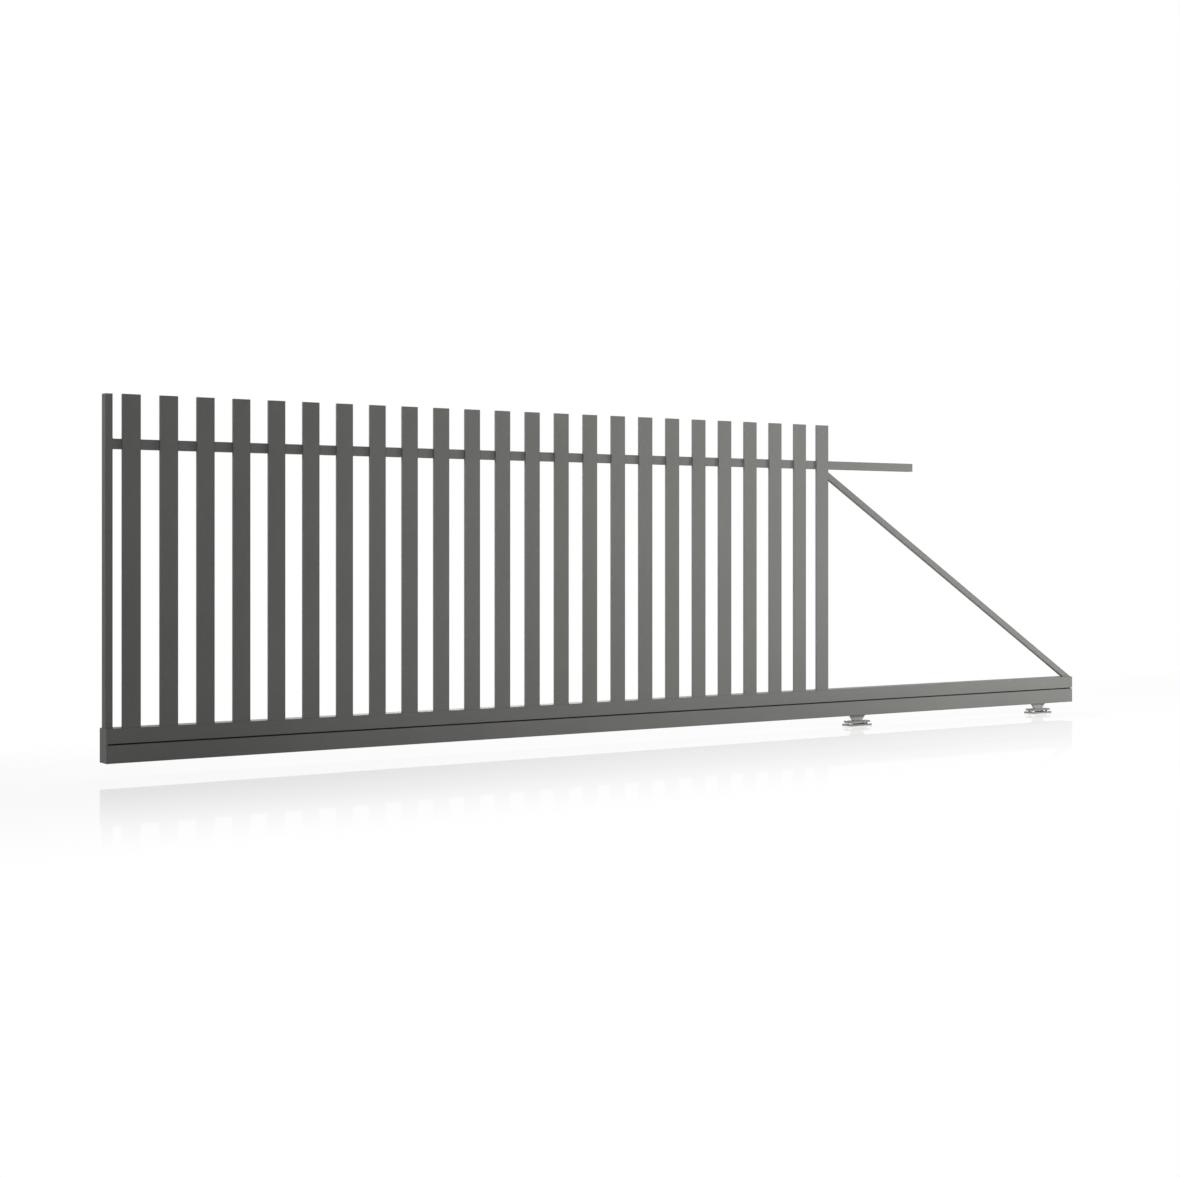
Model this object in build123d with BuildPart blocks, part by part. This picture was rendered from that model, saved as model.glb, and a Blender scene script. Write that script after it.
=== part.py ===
"""Self-supporting sliding gate: an aluminium leaf of upright pickets on a deep bottom beam,
carried clear of the ground by two roller carriages that run inside the beam's lower rail.

The leaf is shown closed. It opens by rolling along +X over the carriages, which stay where they are.
Lengths are in millimetres. X runs along the gate towards its tail, Y runs away from the pickets'
face, and Z is up. The origin is the middle of the underside of the front carriage's base plate.
"""

import os
from math import atan2, cos, sin

from build123d import *

os.makedirs("parts", exist_ok=True)

# Whole gate
gate_height = 1500  # ground to picket tops
leaf_depth = 75  # front face to back face of the leaf
tail_length = 1759  # counterbalance beyond the picketed panel
arm_length = 580  # top rail beyond the picketed panel
cap_thickness = 3  # flange of the flat caps on open tube ends
cap_plug_depth = 12  # how far those caps reach into their tubes
seat_clearance = 0.3  # around what is pushed into another piece

# Pickets
regular_picket_count = 23  # the last picket, hard against the panel's end, comes on top
picket_width = 76
picket_depth = 12
picket_pitch = 156
first_gap = 35  # front stile to first picket
last_gap = 69  # last regular picket to last picket
picket_wall = 1.5
picket_corner = 1.5
picket_overhang = 176  # picket tops above the top rail

# Frame tubes
front_stile_width = 30
rear_stile_width = 40
frame_depth = 40
top_rail_height = 40
frame_wall = 2
frame_corner = 1.5
brace_height = 30
brace_depth = 20
brace_drop = 8  # brace's upper edge below the top rail

# Bottom beam: a plain tube on top of the rail that the carriages run in
beam_height = 60
beam_wall = 2.5
beam_corner = 2
groove_height = 5  # shadow groove between beam and rail
groove_depth = 12.5
rail_height = 72
rail_side_wall = 5
rail_top_wall = 6
rail_lip = 7
rail_slot = 24
rail_corner = 3
rib_width = 6
end_cap_thickness = 5
end_cap_plug_depth = 25
end_cap_edge = 1.5

# Roller carriages
front_carriage_offset = 223  # centre of the front carriage beyond the picketed panel
rear_carriage_inset = 229  # centre of the rear carriage short of the tail's end
base_plate_length = 142
base_plate_depth = 74
base_plate_thickness = 8
base_plate_corner = 8
anchor_hole_radius = 5.5
anchor_spacing_x = 60
anchor_spacing_y = 46
levelling_gap = 8
upper_plate_length = 134
upper_plate_depth = 56
upper_plate_thickness = 8
upper_plate_corner = 6
screw_radius = 5
screw_head_radius = 9.5
screw_spacing_x = 110
screw_spacing_y = 32
screw_clearance = 0.05
nut_across_flats = 17
neck_height = 29  # upper plate to underside of rail
neck_bottom_length = 56
neck_top_length = 106
web_thickness = 10
web_bar_length = 290
web_bar_height = 30
web_corner = 10
wheels_per_side = 4
wheel_spacing = 70
wheel_gap = 0.3  # wheel to running surface, above and below
wheel_side_gap = 5.5  # wheel to side wall of the rail
wheel_width = 17
wheel_rim = 8
wheel_edge = 1.5
wheel_web_thickness = 7
hub_radius = 14
axle_radius = 8
axle_clearance = 0.05
guide_roller_gap = 0.3
guide_roller_spacing = 256
guide_roller_height = 6
guide_roller_edge = 1
guide_pin_radius = 4
guide_shoulder_radius = 6
guide_head_radius = 7
guide_head_height = 2

# Heights
upper_plate_bottom = base_plate_thickness + levelling_gap
upper_plate_top = upper_plate_bottom + upper_plate_thickness
rail_bottom = upper_plate_top + neck_height
rail_top = rail_bottom + rail_height
beam_bottom = rail_top + groove_height
beam_top = beam_bottom + beam_height
top_rail_top = gate_height - picket_overhang
top_rail_bottom = top_rail_top - top_rail_height
picket_tube_top = gate_height - cap_thickness
axle_height = (rail_bottom + rail_lip + rail_top - rail_top_wall) / 2
wheel_radius = (rail_height - rail_lip - rail_top_wall) / 2 - wheel_gap

# Places along the gate
panel_length = (
    front_stile_width
    + first_gap
    + (regular_picket_count - 1) * picket_pitch
    + picket_width
    + last_gap
    + picket_width
)
panel_end = -front_carriage_offset
front_end = panel_end - panel_length
tail_end = panel_end + tail_length
arm_end = panel_end + arm_length
stile_face = front_end + front_stile_width
profile_start = front_end + end_cap_thickness
first_picket_centre = stile_face + first_gap + picket_width / 2
picket_centres = [first_picket_centre + i * picket_pitch for i in range(regular_picket_count)]
picket_centres.append(panel_end - picket_width / 2)

# Places across the gate
front_face = -leaf_depth / 2
frame_face = front_face + picket_depth
frame_middle = frame_face + frame_depth / 2
picket_middle = front_face + picket_depth / 2


def tube_profile(width, height, wall, corner):
    """Section of an extruded tube with rounded outer corners, drawn in the sketch in hand."""
    RectangleRounded(width, height, corner)
    Rectangle(width - 2 * wall, height - 2 * wall, mode=Mode.SUBTRACT)


def pickets():
    """The upright pickets: flat tubes that stand on the beam, flush with its front face."""
    for number, centre in enumerate(picket_centres, start=1):
        with BuildPart() as picket:
            with BuildSketch(Plane.XY.offset(beam_top)):
                with Locations((centre, picket_middle)):
                    tube_profile(picket_width, picket_depth, picket_wall, picket_corner)
            extrude(amount=picket_tube_top - beam_top)
        picket.part.label = f"picket_{number:02d}"
        export_step(picket.part, f"parts/picket_{number:02d}.step")


def picket_caps():
    """Flat plugs that close the tops of the picket tubes."""
    plug_width = picket_width - 2 * picket_wall - 2 * seat_clearance
    plug_depth = picket_depth - 2 * picket_wall - 2 * seat_clearance
    with BuildPart() as caps:
        with BuildSketch(Plane.XY.offset(picket_tube_top)):
            with Locations(*[(centre, picket_middle) for centre in picket_centres]):
                RectangleRounded(picket_width, picket_depth, picket_corner)
        extrude(amount=cap_thickness)
        with BuildSketch(Plane.XY.offset(picket_tube_top)):
            with Locations(*[(centre, picket_middle) for centre in picket_centres]):
                Rectangle(plug_width, plug_depth)
        extrude(amount=-cap_plug_depth)
    caps.part.label = "picket_caps"
    export_step(caps.part, "parts/picket_caps.step")


def stile(name, left, width, top):
    """An upright frame tube that stands on the beam."""
    with BuildPart() as tube:
        with BuildSketch(Plane.XY.offset(beam_top)):
            with Locations((left + width / 2, frame_middle)):
                tube_profile(width, frame_depth, frame_wall, frame_corner)
        extrude(amount=top - beam_top)
    tube.part.label = name
    export_step(tube.part, f"parts/{name}.step")


def top_rail():
    """The rail behind the pickets. It runs on past the panel as the arm that a top guide holds."""
    with BuildPart() as rail:
        with BuildSketch(Plane.YZ.offset(stile_face)):
            with Locations((frame_middle, top_rail_bottom + top_rail_height / 2)):
                tube_profile(frame_depth, top_rail_height, frame_wall, frame_corner)
        extrude(amount=arm_end - cap_thickness - stile_face)
    rail.part.label = "top_rail"
    export_step(rail.part, "parts/top_rail.step")


def brace():
    """The sloping tube from the rear stile down to the tail, mitred to sit flat on both."""
    brace_top = top_rail_bottom - brace_drop
    brace_middle = frame_face + brace_depth / 2
    slope = atan2(brace_top - beam_top, tail_length)
    with BuildPart() as tube:
        with BuildSketch(Plane.XZ.offset(-brace_middle)):
            with BuildLine():
                Polyline(
                    (panel_end, brace_top),
                    (tail_end, beam_top),
                    (tail_end - brace_height / sin(slope), beam_top),
                    (panel_end, brace_top - brace_height / cos(slope)),
                    close=True,
                )
            make_face()
        extrude(amount=brace_depth / 2, both=True)
        long_edges = tube.edges().filter_by(lambda e: e.length > tail_length / 2)
        fillet(long_edges, frame_corner)
        middle_x = (panel_end + tail_end - brace_height / sin(slope) / 2) / 2
        middle_z = (brace_top + beam_top - brace_height / cos(slope) / 2) / 2
        along = Plane(
            origin=(middle_x, brace_middle, middle_z), x_dir=(0, 1, 0), z_dir=(cos(slope), 0, -sin(slope))
        )
        with BuildSketch(along):
            Rectangle(brace_depth - 2 * frame_wall, brace_height - 2 * frame_wall)
        extrude(amount=tail_length, both=True, mode=Mode.SUBTRACT)
    tube.part.label = "brace"
    export_step(tube.part, "parts/brace.step")


def bottom_beam():
    """The tube that the pickets stand on."""
    with BuildPart() as beam:
        with BuildSketch(Plane.YZ.offset(profile_start)):
            with Locations((0, beam_bottom + beam_height / 2)):
                tube_profile(leaf_depth, beam_height, beam_wall, beam_corner)
        extrude(amount=tail_end - cap_thickness - profile_start)
    beam.part.label = "bottom_beam"
    export_step(beam.part, "parts/bottom_beam.step")


def running_rail():
    """The slotted rail under the beam. Two ribs on its back carry the beam and leave the groove."""
    cavity_height = rail_height - rail_lip - rail_top_wall
    rib_middle = leaf_depth / 2 - groove_depth - rib_width / 2
    with BuildPart() as rail:
        with BuildSketch(Plane.YZ.offset(profile_start)) as profile:
            with Locations((0, rail_bottom + rail_height / 2)):
                RectangleRounded(leaf_depth, rail_height, rail_corner)
            with Locations((0, axle_height)):
                Rectangle(leaf_depth - 2 * rail_side_wall, cavity_height, mode=Mode.SUBTRACT)
            with Locations((0, rail_bottom + rail_lip / 2)):
                Rectangle(rail_slot, rail_lip, mode=Mode.SUBTRACT)
            with Locations((-rib_middle, rail_top + groove_height / 2), (rib_middle, rail_top + groove_height / 2)):
                Rectangle(rib_width, groove_height)
            slot_lips = profile.vertices().filter_by(lambda v: abs(v.Y) < rail_slot and v.Z < axle_height)
            fillet(slot_lips, rail_lip / 4)
        extrude(amount=tail_end - profile_start)
    rail.part.label = "running_rail"
    export_step(rail.part, "parts/running_rail.step")


def front_end_cap():
    """The plate that closes beam and rail together at the leading end, with a plug into each."""
    beam_plug_width = leaf_depth - 2 * beam_wall - 2 * seat_clearance
    beam_plug_height = beam_height - 2 * beam_wall - 2 * seat_clearance
    rail_plug_width = leaf_depth - 2 * rail_side_wall - 2 * seat_clearance
    rail_plug_height = rail_height - rail_lip - rail_top_wall - 2 * seat_clearance
    with BuildPart() as cap:
        with BuildSketch(Plane.YZ.offset(front_end)):
            with Locations((0, (rail_bottom + beam_top) / 2)):
                RectangleRounded(leaf_depth, beam_top - rail_bottom, beam_corner)
        extrude(amount=end_cap_thickness)
        chamfer(cap.faces().sort_by(Axis.X)[0].edges(), end_cap_edge)
        with BuildSketch(Plane.YZ.offset(profile_start)):
            with Locations((0, beam_bottom + beam_height / 2)):
                Rectangle(beam_plug_width, beam_plug_height)
            with Locations((0, axle_height)):
                Rectangle(rail_plug_width, rail_plug_height)
        extrude(amount=end_cap_plug_depth)
    cap.part.label = "front_end_cap"
    export_step(cap.part, "parts/front_end_cap.step")


def tube_end_caps():
    """Flat plugs on the front stile's top, the arm's end and the beam's tail."""
    inner = 2 * frame_wall + 2 * seat_clearance
    beam_inner = 2 * beam_wall + 2 * seat_clearance
    with BuildPart() as caps:
        with BuildSketch(Plane.XY.offset(picket_tube_top)):
            with Locations((front_end + front_stile_width / 2, frame_middle)):
                RectangleRounded(front_stile_width, frame_depth, frame_corner)
        extrude(amount=cap_thickness)
        with BuildSketch(Plane.XY.offset(picket_tube_top)):
            with Locations((front_end + front_stile_width / 2, frame_middle)):
                Rectangle(front_stile_width - inner, frame_depth - inner)
        extrude(amount=-cap_plug_depth)
        with BuildSketch(Plane.YZ.offset(arm_end - cap_thickness)):
            with Locations((frame_middle, top_rail_bottom + top_rail_height / 2)):
                RectangleRounded(frame_depth, top_rail_height, frame_corner)
        extrude(amount=cap_thickness)
        with BuildSketch(Plane.YZ.offset(arm_end - cap_thickness)):
            with Locations((frame_middle, top_rail_bottom + top_rail_height / 2)):
                Rectangle(frame_depth - inner, top_rail_height - inner)
        extrude(amount=-cap_plug_depth)
        with BuildSketch(Plane.YZ.offset(tail_end - cap_thickness)):
            with Locations((0, beam_bottom + beam_height / 2)):
                RectangleRounded(leaf_depth, beam_height, beam_corner)
        extrude(amount=cap_thickness)
        with BuildSketch(Plane.YZ.offset(tail_end - cap_thickness)):
            with Locations((0, beam_bottom + beam_height / 2)):
                Rectangle(leaf_depth - beam_inner, beam_height - beam_inner)
        extrude(amount=-cap_plug_depth)
    caps.part.label = "tube_end_caps"
    export_step(caps.part, "parts/tube_end_caps.step")


def base_plate(side, x):
    """The plate that is bolted to the foundation, tapped for the levelling screws."""
    with BuildPart() as plate:
        with BuildSketch():
            with Locations((x, 0)):
                RectangleRounded(base_plate_length, base_plate_depth, base_plate_corner)
        extrude(amount=base_plate_thickness)
        with Locations((x, 0, base_plate_thickness)):
            with GridLocations(anchor_spacing_x, anchor_spacing_y, 2, 2):
                Hole(anchor_hole_radius, base_plate_thickness)
            with GridLocations(screw_spacing_x, screw_spacing_y, 2, 2):
                Hole(screw_radius + screw_clearance, base_plate_thickness)
    plate.part.label = f"{side}_base_plate"
    export_step(plate.part, f"parts/{side}_base_plate.step")


def upper_plate(side, x):
    """The levelled plate that carries the web, countersunk so that the screw heads lie flush."""
    with BuildPart() as plate:
        with BuildSketch(Plane.XY.offset(upper_plate_bottom)):
            with Locations((x, 0)):
                RectangleRounded(upper_plate_length, upper_plate_depth, upper_plate_corner)
        extrude(amount=upper_plate_thickness)
        with Locations((x, 0, upper_plate_top)):
            with GridLocations(screw_spacing_x, screw_spacing_y, 2, 2):
                CounterSinkHole(
                    screw_radius + screw_clearance, screw_head_radius + screw_clearance, upper_plate_thickness, 90
                )
    plate.part.label = f"{side}_upper_plate"
    export_step(plate.part, f"parts/{side}_upper_plate.step")


def levelling_screws(side, x):
    """Countersunk screws from the upper plate into the base plate, each with the nut that sets its height."""
    head_depth = screw_head_radius - screw_radius
    with BuildPart() as screw:
        with BuildSketch(Plane.XZ):
            with BuildLine():
                Polyline(
                    (0, 0),
                    (screw_radius, 0),
                    (screw_radius, upper_plate_top - head_depth),
                    (screw_head_radius, upper_plate_top),
                    (0, upper_plate_top),
                    close=True,
                )
            make_face()
        revolve(axis=Axis.Z)
    with BuildPart() as screws:
        with Locations((x, 0, 0)):
            with GridLocations(screw_spacing_x, screw_spacing_y, 2, 2):
                add(screw.part)
        with BuildSketch(Plane.XY.offset(base_plate_thickness)):
            with Locations((x, 0)):
                with GridLocations(screw_spacing_x, screw_spacing_y, 2, 2):
                    RegularPolygon(nut_across_flats / 2, 6, major_radius=False)
                    Circle(screw_radius + screw_clearance, mode=Mode.SUBTRACT)
        extrude(amount=levelling_gap)
    screws.part.label = f"{side}_levelling_screws"
    export_step(screws.part, f"parts/{side}_levelling_screws.step")


def axle_places(x):
    """Centres of the wheel axles of the carriage at x."""
    first = x - wheel_spacing * (wheels_per_side - 1) / 2
    return [(first + i * wheel_spacing, 0, axle_height) for i in range(wheels_per_side)]


def web_plate(side, x):
    """The upright plate that passes through the rail's slot: a flared neck below a long bar."""
    bar_bottom = axle_height - web_bar_height / 2
    bar_top = axle_height + web_bar_height / 2
    flare = (neck_top_length - neck_bottom_length) / 2 / neck_height
    flare_end = neck_bottom_length / 2 + flare * (bar_bottom - upper_plate_top)
    with BuildPart() as web:
        with BuildSketch(Plane.XZ) as outline:
            with BuildLine():
                Polyline(
                    (x, upper_plate_top),
                    (x + neck_bottom_length / 2, upper_plate_top),
                    (x + flare_end, bar_bottom),
                    (x + web_bar_length / 2, bar_bottom),
                    (x + web_bar_length / 2, bar_top),
                    (x, bar_top),
                )
                mirror(about=Plane.YZ.offset(x))
            make_face()
            rounded = outline.vertices().filter_by(lambda v: v.Z > upper_plate_top)
            fillet(rounded, web_corner)
        extrude(amount=web_thickness / 2, both=True)
        with Locations(*[Location(place, (90, 0, 0)) for place in axle_places(x)]):
            Hole(axle_radius + axle_clearance)
    web.part.label = f"{side}_web_plate"
    export_step(web.part, f"parts/{side}_web_plate.step")


def wheel_half_gap():
    """Distance from the gate's middle plane to a wheel's inner face."""
    return leaf_depth / 2 - rail_side_wall - wheel_side_gap - wheel_width


def carriage_rollers(side, x):
    """Eight load wheels in four pairs, and the two small rollers that keep to the slot."""
    inner_face = wheel_half_gap()
    outer_face = inner_face + wheel_width
    rim_radius = wheel_radius - wheel_rim
    recess = wheel_width - wheel_web_thickness
    bore = axle_radius + axle_clearance
    hub_inner_face = web_thickness / 2 + seat_clearance
    with BuildPart() as wheel:
        with BuildSketch() as section:
            with BuildLine():
                Polyline(
                    (bore, hub_inner_face),
                    (hub_radius, hub_inner_face),
                    (hub_radius, inner_face),
                    (wheel_radius, inner_face),
                    (wheel_radius, outer_face),
                    (rim_radius, outer_face),
                    (rim_radius, outer_face - recess),
                    (hub_radius, outer_face - recess),
                    (hub_radius, outer_face),
                    (bore, outer_face),
                    close=True,
                )
            make_face()
            tread_corners = section.vertices().filter_by(lambda v: v.X > wheel_radius - seat_clearance)
            chamfer(tread_corners, wheel_edge)
        revolve(axis=Axis.Y)
    guide_radius = rail_slot / 2 - guide_roller_gap
    guide_bottom = rail_bottom + (rail_lip - guide_roller_height) / 2
    with BuildPart() as guide:
        with BuildSketch(Plane.XY.offset(guide_bottom)):
            Circle(guide_radius)
            Circle(guide_pin_radius + axle_clearance, mode=Mode.SUBTRACT)
        extrude(amount=guide_roller_height)
        rims = guide.edges().filter_by(GeomType.CIRCLE).filter_by(lambda e: e.radius > guide_shoulder_radius)
        chamfer(rims, guide_roller_edge)
    with BuildPart() as rollers:
        with Locations(*axle_places(x)):
            add(wheel.part)
            add(wheel.part.mirror(Plane.XZ))
        with Locations((x, 0, 0)):
            with GridLocations(guide_roller_spacing, 1, 2, 1):
                add(guide.part)
    rollers.part.label = f"{side}_carriage_rollers"
    export_step(rollers.part, f"parts/{side}_carriage_rollers.step")


def carriage_axles(side, x):
    """Wheel axles through the web's bar, and the shouldered pins of the slot rollers."""
    axle_half_length = wheel_half_gap() + wheel_width
    guide_bottom = rail_bottom + (rail_lip - guide_roller_height) / 2
    guide_top = guide_bottom + guide_roller_height
    bar_bottom = axle_height - web_bar_height / 2
    with BuildPart() as pin:
        with BuildSketch(Plane.XZ):
            with BuildLine():
                Polyline(
                    (0, guide_bottom - guide_head_height),
                    (guide_head_radius, guide_bottom - guide_head_height),
                    (guide_head_radius, guide_bottom),
                    (guide_pin_radius, guide_bottom),
                    (guide_pin_radius, guide_top),
                    (guide_shoulder_radius, guide_top),
                    (guide_shoulder_radius, bar_bottom),
                    (0, bar_bottom),
                    close=True,
                )
            make_face()
        revolve(axis=Axis.Z)
    with BuildPart() as axles:
        with BuildSketch(Plane.XZ):
            with Locations(*[(place[0], place[2]) for place in axle_places(x)]):
                Circle(axle_radius)
        extrude(amount=axle_half_length, both=True)
        with Locations((x, 0, 0)):
            with GridLocations(guide_roller_spacing, 1, 2, 1):
                add(pin.part)
    axles.part.label = f"{side}_carriage_axles"
    export_step(axles.part, f"parts/{side}_carriage_axles.step")


def carriage(side, x):
    """One roller carriage, from its base plate up to the wheels inside the rail."""
    base_plate(side, x)
    upper_plate(side, x)
    levelling_screws(side, x)
    web_plate(side, x)
    carriage_rollers(side, x)
    carriage_axles(side, x)


pickets()
picket_caps()
stile("front_stile", front_end, front_stile_width, picket_tube_top)
stile("rear_stile", panel_end - rear_stile_width, rear_stile_width, top_rail_bottom)
top_rail()
brace()
bottom_beam()
running_rail()
front_end_cap()
tube_end_caps()
carriage("front", 0)
carriage("rear", tail_end - rear_carriage_inset)
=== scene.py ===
"""Looks of a self-supporting sliding gate: a powder-coated aluminium leaf on two roller carriages.
Everything is in metres. X runs along the gate to its tail, the pickets face -Y, and Z is up.
"""

import math
import random

import bmesh
import bpy
from mathutils import Matrix, Vector


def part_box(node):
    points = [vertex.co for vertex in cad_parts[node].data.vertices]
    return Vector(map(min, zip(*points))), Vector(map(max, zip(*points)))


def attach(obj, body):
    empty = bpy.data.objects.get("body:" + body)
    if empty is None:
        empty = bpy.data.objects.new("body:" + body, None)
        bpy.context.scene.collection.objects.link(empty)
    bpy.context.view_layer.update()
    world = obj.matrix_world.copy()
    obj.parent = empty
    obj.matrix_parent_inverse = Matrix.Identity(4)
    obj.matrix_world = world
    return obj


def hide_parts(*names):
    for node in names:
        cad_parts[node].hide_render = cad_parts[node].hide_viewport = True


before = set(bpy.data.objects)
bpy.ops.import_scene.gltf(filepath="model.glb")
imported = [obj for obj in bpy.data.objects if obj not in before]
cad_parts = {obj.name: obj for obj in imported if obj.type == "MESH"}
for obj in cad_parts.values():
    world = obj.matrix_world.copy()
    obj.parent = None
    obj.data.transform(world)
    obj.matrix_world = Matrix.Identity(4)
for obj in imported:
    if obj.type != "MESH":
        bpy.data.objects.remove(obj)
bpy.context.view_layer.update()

# The camera stands before the gate, beyond its leading end and at hip height, and looks level and
# turned towards the tail. Its shift only raises the horizon to where the photograph has it.
camera_place = (-6.750, -7.465, 0.906)
camera_turn = math.radians(34.44)
focal_length = 60.4
film_width = 36
horizon_above_middle = 43.1  # pixels
picture_width = 1180
farthest_seen = 400
camera_data = bpy.data.cameras.new("camera")
camera_data.lens = focal_length
camera_data.sensor_width = film_width
camera_data.shift_y = -horizon_above_middle / picture_width
camera_data.clip_end = farthest_seen
camera = bpy.data.objects.new("camera", camera_data)
camera.location = camera_place
camera.rotation_euler = (math.pi / 2, 0, -camera_turn)
bpy.context.collection.objects.link(camera)
bpy.context.scene.camera = camera
bpy.context.scene.view_settings.view_transform = "Standard"

# Bottom beam: a closed aluminium tube, extruded and powder-coated in a satin mid grey. The coat is
# a fine matt grain over faint die lines, a little cloudy from the spray, with edges painted paler:
# partly a thinner coat there, partly a painted edge highlight.
coat_grey = (0.132, 0.131, 0.124)
coat_grain = 0.0007
coat_grain_height = 0.00004
coat_cloud = 0.42
die_line_length = 0.8
die_line_width = 0.0022
die_line_height = 0.00002
coat_edge_radius = 0.0016
coat_gloss = 0.2
groove_height = 0.005
groove_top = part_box("bottom_beam")[0].z
groove_face = 0.0368  # how far from the middle plane the groove's shade reaches
groove_overlap = 0.0007
groove_softness = 0.0002
# Near-black painted shade for the depth of the groove between beam and rail.
groove_painted_shade = (0.012, 0.012, 0.012)


class Signal:
    """A socket in a material. Sums on it add Math nodes, and add makes any other node."""

    def __init__(self, socket):
        self.socket = socket
        self.tree = socket.id_data

    def add(self, kind, settings, feeds, output=0):
        node = self.tree.nodes.new(kind)
        for name, value in settings.items():
            setattr(node, name, value)
        for key, value in feeds.items():
            if isinstance(value, Signal):
                self.tree.links.new(value.socket, node.inputs[key])
            else:
                node.inputs[key].default_value = value
        return Signal(node.outputs[output])

    def math(self, operation, first, second=0.0, third=0.0):
        return self.add("ShaderNodeMath", {"operation": operation}, {0: first, 1: second, 2: third})

    def __add__(self, other):
        return self.math("ADD", self, other)

    def __radd__(self, other):
        return self.math("ADD", other, self)

    def __sub__(self, other):
        return self.math("SUBTRACT", self, other)

    def __rsub__(self, other):
        return self.math("SUBTRACT", other, self)

    def __mul__(self, other):
        return self.math("MULTIPLY", self, other)

    def __rmul__(self, other):
        return self.math("MULTIPLY", other, self)

    def __abs__(self):
        return self.math("ABSOLUTE", self)

    def rise(self, low, high):
        """0 below low, 1 above high and a smooth step between."""
        settings = {"interpolation_type": "SMOOTHSTEP"}
        feeds = {"Value": self, "From Min": low, "From Max": high}
        return self.add("ShaderNodeMapRange", settings, feeds)

    def within(self, low, high, soft):
        """1 between low and high, with soft edges."""
        return self.rise(low - soft, low + soft) * (1 - self.rise(high - soft, high + soft))

    def blend(self, first, second):
        """The first colour where this signal is 0 and the second where it is 1."""
        first = first if isinstance(first, Signal) else (*first, 1)
        second = second if isinstance(second, Signal) else (*second, 1)
        feeds = {0: self, 6: first, 7: second}
        return self.add("ShaderNodeMix", {"data_type": "RGBA"}, feeds, output=2)

    def stretched(self, size, turn=(0, 0, 0)):
        """These coordinates along axes turned like the piece, in units of the given sizes."""
        feeds = {"Vector": self, "Rotation": turn, "Scale": size}
        return self.add("ShaderNodeMapping", {"vector_type": "TEXTURE"}, feeds)

    def noise(self, size, detail=2.0, roughness=0.5):
        feeds = {"Vector": self, "Scale": 1 / size, "Detail": detail, "Roughness": roughness}
        return self.add("ShaderNodeTexNoise", {}, feeds)

    def axes(self):
        split = self.add("ShaderNodeSeparateXYZ", {}, {"Vector": self})
        return [Signal(out) for out in split.socket.node.outputs]

    def edges(self, radius):
        """1 on corners sharper than the radius, 0 on flat faces."""
        rounded = self.add("ShaderNodeBevel", {"samples": 4}, {"Radius": radius})
        facing = self.add("ShaderNodeNewGeometry", {}, {}, output="Normal")
        settings = {"operation": "DOT_PRODUCT"}
        likeness = self.add("ShaderNodeVectorMath", settings, {0: rounded, 1: facing}, output=1)
        return (1 - likeness).rise(0.02, 0.25)

    def surface(self, feeds, height=None, bump=0.5):
        """A Principled surface from these values, with a height in metres as its bump."""
        if height is not None:
            relief = {"Strength": bump, "Distance": 1.0, "Height": height}
            feeds["Normal"] = self.add("ShaderNodeBump", {}, relief)
        return self.add("ShaderNodeBsdfPrincipled", {}, feeds)


def new_material(name):
    """A material with an empty tree, its Object coordinates, and its surface output."""
    material = bpy.data.materials.new(name)
    material.use_nodes = True
    tree = material.node_tree
    tree.nodes.clear()
    output = tree.nodes.new("ShaderNodeOutputMaterial")
    coordinates = tree.nodes.new("ShaderNodeTexCoord")
    return material, Signal(coordinates.outputs["Object"]), output.inputs["Surface"]


def shade(colour, factor):
    """A colour made darker or paler."""
    return tuple(factor * part for part in colour)


def coat_values(place, turn):
    """Colour, roughness and height of the powder coat on a bar along the turned X axis."""
    size = (die_line_length, die_line_width, die_line_width)
    lines = place.stretched(size, turn).noise(1.0, detail=3.0, roughness=0.6)
    grain = place.noise(coat_grain, detail=2.0, roughness=0.6)
    cloud = place.noise(coat_cloud, detail=3.0, roughness=0.55)
    tone = (cloud * 0.75 + lines * 0.25).rise(0.3, 0.7)
    colour = tone.blend(shade(coat_grey, 0.955), shade(coat_grey, 1.045))
    colour = (grain.rise(0.45, 0.75) * 0.3).blend(colour, shade(coat_grey, 1.25))
    # Paler edges: partly a thinner coat, partly a painted edge highlight.
    thin_coat_and_edge_highlight = place.edges(coat_edge_radius) * cloud.rise(0.35, 0.65)
    colour = (thin_coat_and_edge_highlight * 0.35).blend(colour, shade(coat_grey, 1.5))
    roughness = 0.50 + 0.08 * cloud + 0.05 * grain
    height = grain * coat_grain_height + lines * die_line_height
    return colour, roughness, height


def groove_shade_mask(place):
    """1 in the depth of the groove between beam and rail, where near-black shade is painted."""
    _, across, up = place.axes()
    bottom = groove_top - groove_height - groove_overlap
    level = up.within(bottom, groove_top + groove_overlap, groove_softness)
    return level * (1 - abs(across).rise(groove_face - 0.001, groove_face))


def powder_coat(name, turn=(0, 0, 0)):
    """The leaf's coat for tubes that lie along the turned X axis."""
    material, place, surface = new_material(name)
    colour, roughness, height = coat_values(place, turn)
    # The groove's depth gets near-black painted shade.
    colour = groove_shade_mask(place).blend(colour, groove_painted_shade)
    feeds = {"Base Color": colour, "Roughness": roughness, "Specular IOR Level": coat_gloss}
    material.node_tree.links.new(place.surface(feeds, height).socket, surface)
    return material


def dress(material, *names):
    """Gives the CAD nodes of these names this material."""
    for name in names:
        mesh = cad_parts[name].data
        mesh.materials.clear()
        mesh.materials.append(material)


rail_coat = powder_coat("coat_along_the_gate")
dress(rail_coat, "bottom_beam")

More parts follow.
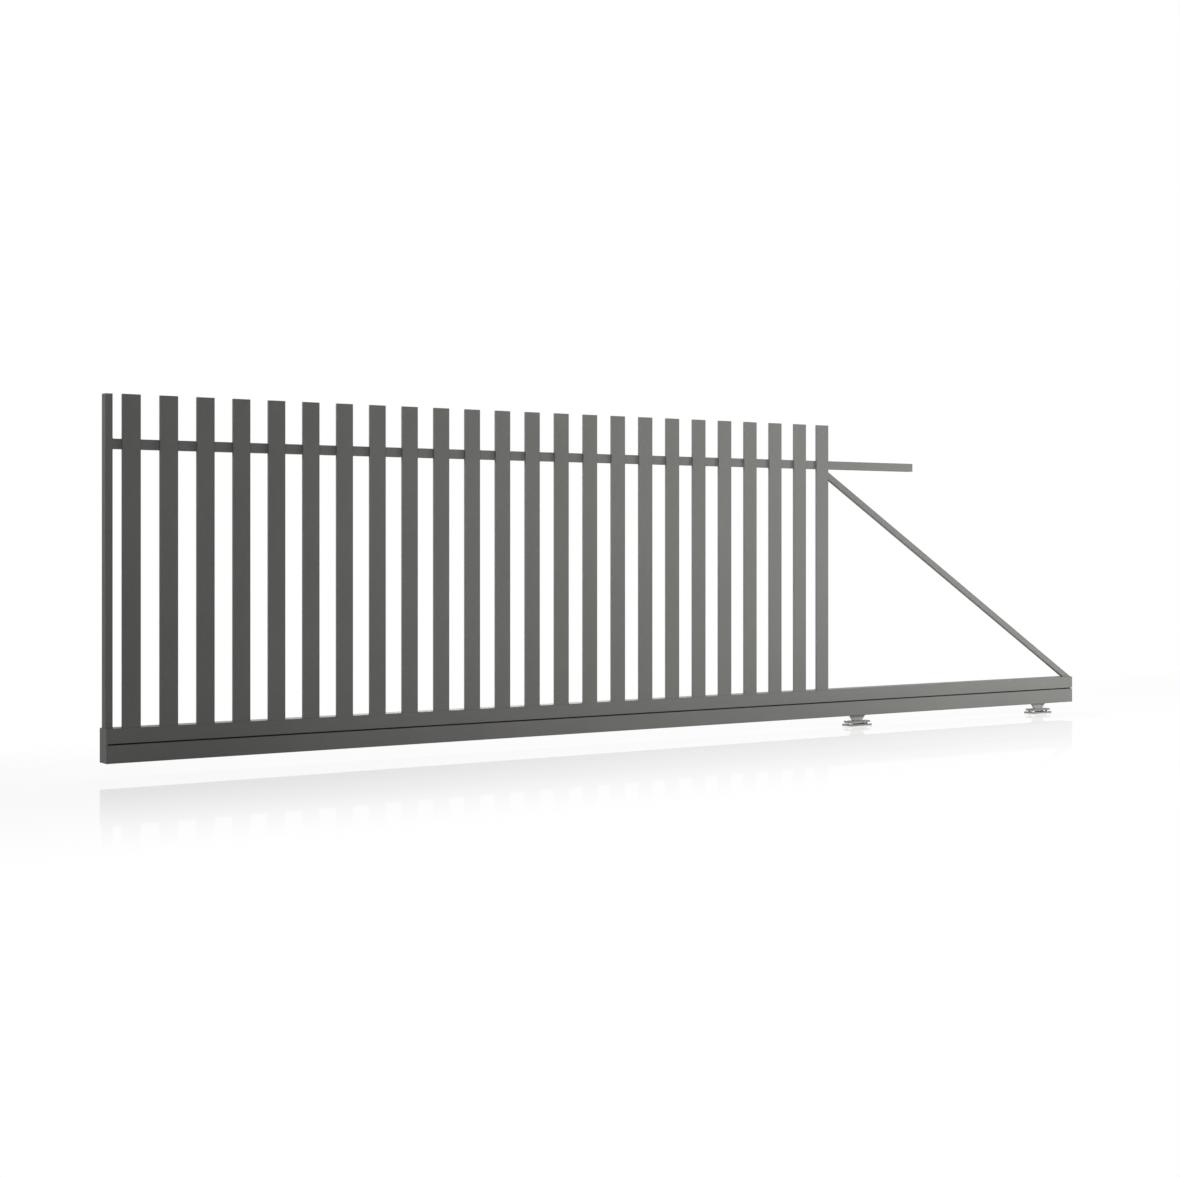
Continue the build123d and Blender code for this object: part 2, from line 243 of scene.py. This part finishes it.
# Running rail: a slotted extrusion under the beam that rolls on the carriages. It is coated outside,
# bare mill-finish aluminium inside, and polished bright where the wheels run.
rail_low, rail_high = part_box("running_rail")
rail_wall = 0.005
rail_lip = 0.007
rail_roof = 0.006
slot_half_width = 0.012
wheel_track_outside = 0.027
track_softness = 0.0006
scratch_size = (0.15, 0.0006, 0.0006)
scratch_height = 0.00003
coat_edge_softness = 0.0003
mill_grey = (0.56, 0.565, 0.57)
cavity_half_width = (rail_high.y - rail_low.y) / 2 - rail_wall
cavity_bottom = rail_low.z + rail_lip
cavity_top = rail_high.z - groove_height - rail_roof
rail_material, place, surface = new_material("coat_outside_bare_inside")
coat_colour, coat_roughness, coat_height = coat_values(place, (0, 0, 0))
_, across, up = place.axes()
# The groove's depth gets near-black painted shade here too.
coat_colour = groove_shade_mask(place).blend(coat_colour, groove_painted_shade)
inside = 1 - abs(across).rise(cavity_half_width, cavity_half_width + coat_edge_softness)
low, high = cavity_bottom - coat_edge_softness, cavity_top + coat_edge_softness
inside = inside * up.within(low, high, coat_edge_softness)
track = abs(across).within(slot_half_width + 0.001, wheel_track_outside, track_softness)
scratches = place.stretched(scratch_size).noise(1.0, detail=4.0, roughness=0.7)
dust = place.noise(0.05, detail=4.0, roughness=0.65)
bare = (scratches * 0.6 + dust * 0.4).rise(0.25, 0.75).blend(shade(mill_grey, 0.72), mill_grey)
bare = (track * 0.8).blend(bare, shade(mill_grey, 1.35))
bare_roughness = 0.46 + 0.12 * scratches - 0.22 * track
feeds = {
    "Base Color": inside.blend(coat_colour, bare),
    "Roughness": inside * bare_roughness + (1 - inside) * coat_roughness,
    "Metallic": inside,
    "Specular IOR Level": coat_gloss,
}
height = inside * scratches * scratch_height + (1 - inside) * coat_height
rail_material.node_tree.links.new(place.surface(feeds, height).socket, surface)
dress(rail_material, "running_rail")

# End cap and plugs: injection-moulded plastic in the coat's colour, with a fine spark-eroded grain,
# pushed into the open ends of the tubes. Handling leaves their edges a touch paler and glossier.
plug_grey = (0.120, 0.119, 0.113)
plug_gloss = 0.25
plug_edge_radius = 0.0012
erosion_grain = 0.0009
erosion_height = 0.00006
plug_material, place, surface = new_material("moulded_plugs")
erosion = place.noise(erosion_grain, detail=3.0, roughness=0.65)
flow = place.noise(0.03, detail=2.0)
rim = place.edges(plug_edge_radius)
tone = (flow * 0.6 + erosion * 0.4).rise(0.3, 0.7)
colour = tone.blend(shade(plug_grey, 0.94), shade(plug_grey, 1.07))
colour = (rim * 0.3).blend(colour, shade(plug_grey, 1.5))
roughness = 0.5 + 0.12 * erosion - 0.12 * rim
feeds = {"Base Color": colour, "Roughness": roughness, "Specular IOR Level": plug_gloss}
plug_material.node_tree.links.new(place.surface(feeds, erosion * erosion_height).socket, surface)
dress(plug_material, "front_end_cap", "tube_end_caps", "picket_caps")

# Stiles and pickets: upright tubes from the same coating line as the beam, with their die lines
# upright. The pickets are flat 76 by 12 mm tubes, ground flush with the beam's face at their feet.
upright_coat = powder_coat("coat_upright", (0, math.pi / 2, 0))
picket_names = sorted(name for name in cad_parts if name.startswith("picket_"))
picket_names.remove("picket_caps")
dress(upright_coat, "front_stile", "rear_stile", *picket_names)

# Top rail and its arm: a 40 mm square tube that runs on behind the pickets and past the last one,
# where the gate's guide post holds it upright.
dress(rail_coat, "top_rail")

# Brace: a tube from the rear stile down to the tail, mitred and welded at both ends. Its die lines
# follow its slope.
brace_low, brace_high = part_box("brace")
brace_cut_height = 0.0353  # its height at the mitre
brace_slope = math.atan2(brace_high.z - brace_low.z, brace_high.x - brace_low.x)
dress(powder_coat("coat_on_brace", (0, brace_slope, 0)), "brace")

# Weld beads: aluminium fillets laid in small overlapping ripples where the tubes meet, then coated
# with the leaf. None is in front, where the joints are ground flush.
bead_section = ((0, 0), (1, 0), (0.87, 0.37), (0.62, 0.62), (0.37, 0.87), (0, 1))
bead_bulge = 0.9  # how far the ripples bow forwards, as a share of the leg
section_bulge = 0.38  # the share of it that the middle of the section gets
ripple_swell = (0.90, 1.05, 1.0)
ripple_range = (0.97, 1.03)
ripple_pitch = 0.0024
fewest_ripple_steps = 8
end_taper = (0.35, 0.75, 0.95)
weld_crease = math.radians(50)
weld_grain_height = 0.00003
leaf_leg = 0.0036
side_leg = 0.0026
foot_bead_length = 0.068
side_bead_length = 0.0095
rail_bead_length = 0.058
rail_bead_slip = 0.002
tube_bead_length = 0.036
tube_bead_inset = 0.002
stile_bead_length = 0.026
stile_bead_inset = 0.003
brace_bead_length = 0.018
brace_bead_inset = 0.001
brace_head_spare = 0.003
brace_foot_spare = 0.006


def pull_out(shape, face, closes_end=False):
    """Extrudes a face and gives the new one. The first goes, unless it closes the shape's end."""
    grown = bmesh.ops.extrude_face_region(shape, geom=[face])["geom"]
    if not closes_end:
        bmesh.ops.delete(shape, geom=[face], context="FACES_ONLY")
    return next(item for item in grown if isinstance(item, bmesh.types.BMFace))


def bead_mesh(length, leg, seed):
    """A fillet bead along X from the origin, with its legs along Y and Z, swept in ripples."""
    dice = random.Random(seed)
    bead = bmesh.new()
    ring = [bead.verts.new((bead_bulge * leg * a * b, leg * a, leg * b)) for a, b in bead_section]
    face = bead.faces.new(ring)
    steps = max(fewest_ripple_steps, round(length / ripple_pitch * len(ripple_swell)))
    advance = (length - bead_bulge * leg * section_bulge) / steps
    size = 1.0
    for step in range(steps + 1):
        from_end = min(step, steps - step)
        wanted = ripple_swell[step % len(ripple_swell)] * dice.uniform(*ripple_range)
        if from_end < len(end_taper):
            wanted = end_taper[from_end]
        if step > 0:
            face = pull_out(bead, face, closes_end=step == 1)
            bmesh.ops.translate(bead, verts=list(face.verts), vec=(advance, 0, 0))
        bmesh.ops.scale(bead, verts=list(face.verts), vec=(1, wanted / size, wanted / size))
        size = wanted
    bmesh.ops.recalc_face_normals(bead, faces=bead.faces)
    mesh = bpy.data.meshes.new("bead")
    bead.to_mesh(mesh)
    bead.free()
    return mesh


def lay_bead(welds, mesh, start, along, first_leg, second_leg):
    """Puts a copy of a bead in place by its start, its run and the directions of its legs."""
    have = len(welds.verts)
    welds.from_mesh(mesh)
    welds.verts.ensure_lookup_table()
    place = Matrix((Vector(along), Vector(first_leg), Vector(second_leg))).transposed().to_4x4()
    bmesh.ops.transform(welds, matrix=Matrix.Translation(start) @ place, verts=welds.verts[have:])


def finish_piece(name, shape, material, body, crease=weld_crease):
    """Turns a bmesh into a named piece with its material and body, smooth but for creases."""
    bmesh.ops.recalc_face_normals(shape, faces=shape.faces)
    mesh = bpy.data.meshes.new(name)
    shape.to_mesh(mesh)
    shape.free()
    mesh.materials.append(material)
    for polygon in mesh.polygons:
        polygon.use_smooth = True
    mesh.set_sharp_from_angle(angle=crease)
    piece = bpy.data.objects.new(name, mesh)
    bpy.context.collection.objects.link(piece)
    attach(piece, body)
    return piece


weld_coat, place, surface = new_material("coat_on_welds")
flow = place.noise(0.004, detail=2.0)
grain = place.noise(coat_grain, detail=2.0, roughness=0.6)
colour = flow.rise(0.3, 0.7).blend(shade(coat_grey, 0.93), shade(coat_grey, 1.06))
feeds = {"Base Color": colour, "Roughness": 0.50 + 0.08 * grain, "Specular IOR Level": coat_gloss}
weld_coat.node_tree.links.new(place.surface(feeds, grain * weld_grain_height).socket, surface)

right, left = Vector((1, 0, 0)), Vector((-1, 0, 0))
back, ahead = Vector((0, 1, 0)), Vector((0, -1, 0))
rise, drop = Vector((0, 0, 1)), Vector((0, 0, -1))
dice = random.Random(7)
beam_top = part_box("bottom_beam")[1].z
top_rail_low, top_rail_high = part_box("top_rail")
foot_beads = [bead_mesh(foot_bead_length, leaf_leg, seed) for seed in range(4)]
side_beads = [bead_mesh(side_bead_length, side_leg, seed) for seed in range(4, 8)]
rail_beads = [bead_mesh(rail_bead_length, leaf_leg, seed) for seed in range(8, 12)]
foot_welds = bmesh.new()
rail_welds = bmesh.new()
for name in picket_names:
    low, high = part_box(name)
    middle = (low.x + high.x) / 2
    slip = dice.uniform(-rail_bead_slip, rail_bead_slip)
    behind = (middle - foot_bead_length / 2, high.y, beam_top)
    lay_bead(foot_welds, dice.choice(foot_beads), behind, right, back, rise)
    lay_bead(foot_welds, dice.choice(side_beads), (low.x, high.y, beam_top), ahead, left, rise)
    lay_bead(foot_welds, dice.choice(side_beads), (high.x, high.y, beam_top), ahead, right, rise)
    over = (middle - rail_bead_length / 2 + slip, high.y, top_rail_high.z)
    under = (middle - rail_bead_length / 2 - slip, high.y, top_rail_low.z)
    lay_bead(rail_welds, dice.choice(rail_beads), over, right, back, rise)
    lay_bead(rail_welds, dice.choice(rail_beads), under, right, back, drop)
finish_piece("picket_foot_welds", foot_welds, weld_coat, "leaf")
finish_piece("picket_rail_welds", rail_welds, weld_coat, "leaf")

frame_welds = bmesh.new()
tube_bead = bead_mesh(tube_bead_length, leaf_leg, 12)
stile_bead = bead_mesh(stile_bead_length, leaf_leg, 13)
low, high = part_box("front_stile")
bead_start = low.y + tube_bead_inset
lay_bead(frame_welds, stile_bead, (low.x + stile_bead_inset, low.y, beam_top), right, ahead, rise)
lay_bead(frame_welds, stile_bead, (low.x + stile_bead_inset, high.y, beam_top), right, back, rise)
lay_bead(frame_welds, tube_bead, (high.x, bead_start, beam_top), back, right, rise)
lay_bead(frame_welds, tube_bead, (high.x, bead_start, top_rail_high.z), back, right, rise)
lay_bead(frame_welds, tube_bead, (high.x, bead_start, top_rail_low.z), back, right, drop)
low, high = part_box("rear_stile")
bead_start = low.y + tube_bead_inset
lay_bead(frame_welds, tube_bead, (low.x + tube_bead_inset, high.y, beam_top), right, back, rise)
for edge, outwards in ((low.x, left), (high.x, right)):
    lay_bead(frame_welds, tube_bead, (edge, bead_start, beam_top), back, outwards, rise)
    lay_bead(frame_welds, tube_bead, (edge, bead_start, high.z), back, outwards, drop)
finish_piece("frame_welds", frame_welds, weld_coat, "leaf")

brace_welds = bmesh.new()
brace_side_bead = bead_mesh(brace_bead_length, leaf_leg, 14)
brace_foot_length = brace_cut_height / math.tan(brace_slope)
brace_foot_bead = bead_mesh(brace_foot_length - brace_foot_spare, leaf_leg, 15)
brace_head_bead = bead_mesh(brace_cut_height - brace_head_spare, leaf_leg, 16)
down_slope = Vector((math.cos(brace_slope), 0, -math.sin(brace_slope)))
up_slope = -down_slope
head_bottom = brace_high.z - brace_cut_height
foot_start = brace_high.x - brace_foot_length
bead_start = brace_low.y + brace_bead_inset
head_top_place = (brace_low.x, bead_start, brace_high.z)
head_bottom_place = (brace_low.x, bead_start, head_bottom)
head_back_place = (brace_low.x, brace_high.y, head_bottom + brace_head_spare / 2)
lay_bead(brace_welds, brace_side_bead, head_top_place, back, down_slope, rise)
lay_bead(brace_welds, brace_side_bead, head_bottom_place, back, down_slope, drop)
lay_bead(brace_welds, brace_head_bead, head_back_place, rise, back, down_slope)
lay_bead(brace_welds, brace_side_bead, (foot_start, bead_start, beam_top), back, left, up_slope)
for side_face, outwards in ((brace_high.y, back), (brace_low.y, ahead)):
    foot_place = (foot_start + brace_bead_inset, side_face, beam_top)
    lay_bead(brace_welds, brace_foot_bead, foot_place, right, outwards, rise)
finish_piece("brace_welds", brace_welds, weld_coat, "leaf")

# Carriage plates: a base plate for the foundation, an upper plate above it, and the web that passes
# up through the rail's slot. They are flame-cut steel, painted, and rubbed bare on a few edges.
plate_grey = (0.150, 0.148, 0.143)
# The web's grey is paler than the plates' as painted light, to make up for the shade it stands in
# under the rail.
web_grey_paled_for_shade = (0.27, 0.268, 0.262)
bare_steel = (0.42, 0.41, 0.40)
steel_edge_radius = 0.0012
paint_peel = 0.0016
paint_peel_height = 0.00005


def carriage_steel(name, grey):
    """Painted steel plate with a slight orange peel and chipped edges."""
    material, place, surface = new_material(name)
    mottle = place.noise(0.012, detail=4.0, roughness=0.6)
    peel = place.noise(paint_peel, detail=2.0)
    dust = place.noise(0.06, detail=3.0)
    patches = place.noise(0.006, detail=4.0, roughness=0.7).rise(0.48, 0.62)
    chips = place.edges(steel_edge_radius) * patches
    colour = (mottle * 0.6 + dust * 0.4).rise(0.3, 0.7).blend(shade(grey, 0.88), shade(grey, 1.08))
    colour = (chips * 0.6).blend(colour, bare_steel)
    feeds = {"Base Color": colour, "Roughness": 0.42 + 0.16 * mottle, "Metallic": 0.7 * chips}
    material.node_tree.links.new(place.surface(feeds, peel * paint_peel_height).socket, surface)
    return material


plate_paint = carriage_steel("carriage_plate_paint", plate_grey)
web_paint_paled_for_shade = carriage_steel("carriage_web_paint", web_grey_paled_for_shade)
dress(plate_paint, "front_base_plate", "rear_base_plate", "front_upper_plate", "rear_upper_plate")
dress(web_paint_paled_for_shade, "front_web_plate", "rear_web_plate")

# Neck welds: steel fillets laid by hand along both long sides of each web's neck, where it stands on
# its upper plate, and painted with the web.
neck_length = 0.056
neck_bead_inset = 0.001
neck_leg = 0.0035
web_half = 0.005
neck_bead = bead_mesh(neck_length - 2 * neck_bead_inset, neck_leg, 17)
neck_welds = bmesh.new()
for side in ("front", "rear"):
    low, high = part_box(side + "_upper_plate")
    start = (low.x + high.x - neck_length) / 2 + neck_bead_inset
    lay_bead(neck_welds, neck_bead, (start, -web_half, high.z), right, ahead, rise)
    lay_bead(neck_welds, neck_bead, (start, web_half, high.z), right, back, rise)
# The neck welds take the web's paint, which is paled as painted light against the shade under the
# rail.
finish_piece("neck_welds", neck_welds, web_paint_paled_for_shade, "carriages")

# Levelling screws: zinc-plated M10 screws with countersunk socket heads. They pass through the upper
# plate and a nut into the base plate, and the nut between the plates sets the height.
screw_radius = 0.005
head_radius = 0.0095
round_segments = 36
socket_half_flats = 0.003
socket_inset = head_radius * 0.45
socket_depth = 0.004
nut_half_flats = 0.0085
nut_chamfer = 0.0013
steel_crease = math.radians(25)
screw_places = [(x, y) for x in (-0.055, 0.055) for y in (-0.016, 0.016)]
zinc_grey = (0.60, 0.60, 0.585)
zinc_yellow = (0.66, 0.62, 0.50)
zinc_grain = 0.0005
zinc_grain_height = 0.00002


def zinc_plate(name):
    """Bright zinc plating with a cloudy and slightly yellow bloom."""
    material, place, surface = new_material(name)
    bloom = place.noise(0.007, detail=3.0, roughness=0.6)
    fine = place.noise(zinc_grain, detail=2.0)
    colour = bloom.rise(0.3, 0.7).blend(shade(zinc_grey, 0.78), zinc_grey)
    colour = (bloom.rise(0.6, 0.8) * 0.35).blend(colour, zinc_yellow)
    feeds = {"Base Color": colour, "Roughness": 0.30 + 0.14 * bloom + 0.05 * fine, "Metallic": 1.0}
    material.node_tree.links.new(place.surface(feeds, fine * zinc_grain_height).socket, surface)
    return material


def hexagon_reach(vertex):
    """How far a unit hexagon's edge is from its middle, towards this vertex."""
    angle = math.atan2(vertex.co.y, vertex.co.x) % (math.pi / 3)
    return 1 / math.cos(angle - math.pi / 6)


def socket_screw(top):
    """A countersunk screw on the Z axis, with its head's face at the given height."""
    screw = bmesh.new()
    head_depth = head_radius - screw_radius
    bmesh.ops.create_cone(
        screw,
        cap_ends=True,
        segments=round_segments,
        radius1=screw_radius,
        radius2=head_radius,
        depth=head_depth,
    )
    bmesh.ops.translate(screw, verts=screw.verts, vec=(0, 0, top - head_depth / 2))
    face = max(screw.faces, key=lambda f: f.calc_center_median().z)
    bmesh.ops.inset_region(screw, faces=[face], thickness=socket_inset, use_even_offset=True)
    for vertex in face.verts:
        reach = socket_half_flats * hexagon_reach(vertex) / math.hypot(vertex.co.x, vertex.co.y)
        vertex.co.x *= reach
        vertex.co.y *= reach
    bottom = pull_out(screw, face)
    bmesh.ops.translate(screw, verts=list(bottom.verts), vec=(0, 0, -socket_depth))
    base = min(screw.faces, key=lambda f: f.calc_center_median().z)
    tip = pull_out(screw, base)
    bmesh.ops.translate(screw, verts=list(tip.verts), vec=(0, 0, head_depth - top))
    return screw


def hexagon_nut(bottom, height):
    """A nut on the Z axis with its corners chamfered top and bottom."""
    nut = bmesh.new()
    corner_radius = nut_half_flats / math.cos(math.pi / 6)
    bmesh.ops.create_cone(
        nut, cap_ends=True, segments=6, radius1=corner_radius, radius2=corner_radius, depth=height
    )
    bmesh.ops.translate(nut, verts=nut.verts, vec=(0, 0, bottom + height / 2))
    bmesh.ops.bevel(
        nut,
        geom=list(nut.verts),
        offset=nut_chamfer,
        affect="VERTICES",
        segments=2,
        profile=0.5,
        material=-1,
    )
    return nut


zinc = zinc_plate("zinc_plating")
for side in ("front", "rear"):
    upper_low, upper_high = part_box(side + "_upper_plate")
    base_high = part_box(side + "_base_plate")[1]
    middle = (upper_low.x + upper_high.x) / 2
    nut_height = upper_low.z - base_high.z
    screws = bmesh.new()
    for x, y in screw_places:
        turned = dice.uniform(0, math.pi / 3)
        for part in (socket_screw(upper_high.z), hexagon_nut(base_high.z, nut_height)):
            part_mesh = bpy.data.meshes.new("part")
            part.to_mesh(part_mesh)
            part.free()
            have = len(screws.verts)
            screws.from_mesh(part_mesh)
            screws.verts.ensure_lookup_table()
            place = Matrix.Translation((middle + x, y, 0)) @ Matrix.Rotation(turned, 4, "Z")
            bmesh.ops.transform(screws, matrix=place, verts=screws.verts[have:])
            bpy.data.meshes.remove(part_mesh)
    name = side + "_screws_and_nuts"
    piece = finish_piece(name, screws, zinc, "carriages", steel_crease)
    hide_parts(side + "_levelling_screws")

# Axles: zinc-plated round steel bar through the web plate, one for each pair of wheels, and the
# shouldered pins under it that the two slot rollers turn on.
dress(zinc, "front_carriage_axles", "rear_carriage_axles")

# Rollers: wheels turned from black nylon, in pairs on each axle, and two small ones that keep to the
# slot. The lathe leaves fine rings round each axle, and the treads are dusty.
nylon_black = (0.022, 0.022, 0.024)
tread_dust = (0.10, 0.095, 0.085)
wheel_spacing = 0.07
wheel_radius = 0.0292
rings_in_a_metre = 900
ring_height = 0.00006
axle_height = (cavity_bottom + cavity_top) / 2
for side in ("front", "rear"):
    web_low, web_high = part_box(side + "_web_plate")
    nylon, place, surface = new_material(side + "_nylon")
    along, _, up = place.axes()
    first_axle = (web_low.x + web_high.x) / 2 + wheel_spacing / 2
    from_axle = place.math("WRAP", along - first_axle, -wheel_spacing / 2, wheel_spacing / 2)
    above_axle = up - axle_height
    radius = place.math("SQRT", from_axle * from_axle + above_axle * above_axle)
    settings = {"noise_dimensions": "1D"}
    feeds = {"W": radius, "Scale": rings_in_a_metre, "Detail": 2.0}
    rings = place.add("ShaderNodeTexNoise", settings, feeds)
    grime = place.noise(0.008, detail=4.0, roughness=0.65).rise(0.5, 0.75)
    tread = radius.rise(wheel_radius - 0.001, wheel_radius - 0.0003)
    colour = (grime * 0.4 + tread * 0.4).blend(nylon_black, tread_dust)
    feeds = {"Base Color": colour, "Roughness": 0.38 + 0.18 * grime + 0.1 * rings}
    nylon.node_tree.links.new(place.surface(feeds, rings * ring_height).socket, surface)
    dress(nylon, side + "_carriage_rollers")

# The studio floor is a pale glossy sheet. Seen by the camera it is white, with the gate's faint
# shadow and a mirror image of its foot that fades out a short way from the gate.
floor_half_size = 80
floor_drop = 0.0004
floor_colour = (0.80, 0.80, 0.80, 1)
shadow_share = 0.09
shadow_start = 0.3
shadow_reach = 2.2
mirror_at_front = 0.22
mirror_reach = 2.0
mirror_loss = 0.15
gate_run = (-4.2, 1.8)  # from before the leading end to past the tail
mirror_roughness = 0.03
floor_bm = bmesh.new()
bmesh.ops.create_grid(floor_bm, x_segments=1, y_segments=1, size=floor_half_size)
bmesh.ops.translate(floor_bm, verts=floor_bm.verts, vec=(0, 0, -floor_drop))
floor_mesh = bpy.data.meshes.new("floor")
floor_bm.to_mesh(floor_mesh)
floor_bm.free()
floor = bpy.data.objects.new("floor", floor_mesh)
bpy.context.collection.objects.link(floor)
floor_material, place, surface = new_material("floor_sheet")
along, across, up = place.axes()
seen = place.add("ShaderNodeLightPath", {}, {}, output="Is Camera Ray")
mirrored = place.add("ShaderNodeLightPath", {}, {}, output="Is Glossy Ray")
clear = place.add("ShaderNodeLightPath", {}, {}, output="Is Transmission Ray")
shown = place.math("MAXIMUM", place.math("MAXIMUM", seen, mirrored), clear)
near_gate = 1 - abs(across).rise(shadow_start, shadow_reach)
matt = place.add("ShaderNodeBsdfDiffuse", {}, {"Color": floor_colour})
white = place.add("ShaderNodeEmission", {}, {"Color": (1, 1, 1, 1), "Strength": 1.0})
painted_white = shown * (1 - shadow_share * near_gate)
sheet = place.add("ShaderNodeMixShader", {}, {0: painted_white, 1: matt, 2: white})
feeds = {"Color": (1, 1, 1, 1), "Roughness": mirror_roughness}
gloss = place.add("ShaderNodeBsdfGlossy", {}, feeds)
mirror = 1 - abs(across).rise(0, mirror_reach)
mirror = mirror * (1 - mirror_loss * along.rise(*gate_run)) * seen * mirror_at_front
finish = place.add("ShaderNodeMixShader", {}, {0: mirror, 1: sheet, 2: gloss})
floor_material.node_tree.links.new(finish.socket, surface)
floor_mesh.materials.append(floor_material)

# The studio's surroundings are white to the eye and in reflections, and a dim even light otherwise.
room_light = 0.03
world = bpy.data.worlds.new("studio")
world.use_nodes = True
bpy.context.scene.world = world
world.node_tree.nodes.clear()
world_output = world.node_tree.nodes.new("ShaderNodeOutputWorld")
ray = world.node_tree.nodes.new("ShaderNodeLightPath")
direct = Signal(ray.outputs["Is Camera Ray"])
glossy = Signal(ray.outputs["Is Glossy Ray"])
clear = Signal(ray.outputs["Is Transmission Ray"])
eye = direct.math("MAXIMUM", direct.math("MAXIMUM", direct, glossy), clear)
brightness = eye * (1 - room_light) + room_light
backdrop = direct.add("ShaderNodeBackground", {}, {"Color": (1, 1, 1, 1), "Strength": brightness})
world.node_tree.links.new(backdrop.socket, world_output.inputs["Surface"])


# Studio lamps, all large and soft. One before the gate's leading end and one behind it are turned
# along the gate, so their light grows towards the tail. One hangs above the pickets, one stands by
# the tail, and one lights the back.
def soft_lamp(name, place, aim, size, watts):
    data = bpy.data.lights.new(name, "AREA")
    data.shape = "DISK"
    data.size = size
    data.energy = watts
    lamp = bpy.data.objects.new(name, data)
    lamp.location = place
    lamp.rotation_euler = (Vector(aim) - Vector(place)).to_track_quat("-Z", "Y").to_euler()
    bpy.context.collection.objects.link(lamp)


soft_lamp("leading_lamp", (-7.5, -6.5, 3.4), (-2.67, -7.8, 2.6), 2.4, 640)
soft_lamp("picket_lamp", (-2.2, -3.0, 3.8), (4.0, -2.0, 2.4), 1.6, 172)
soft_lamp("tail_lamp", (2.6, -2.6, 0.9), (1.0, 0, 0.4), 1.2, 92)
soft_lamp("edge_lamp", (-6.0, 3.0, 2.2), (-2.54, 5.2, 1.8), 1.2, 450)
soft_lamp("back_lamp", (1.5, 6.0, 4.5), (-1.2, 0, 0.7), 3.0, 420)
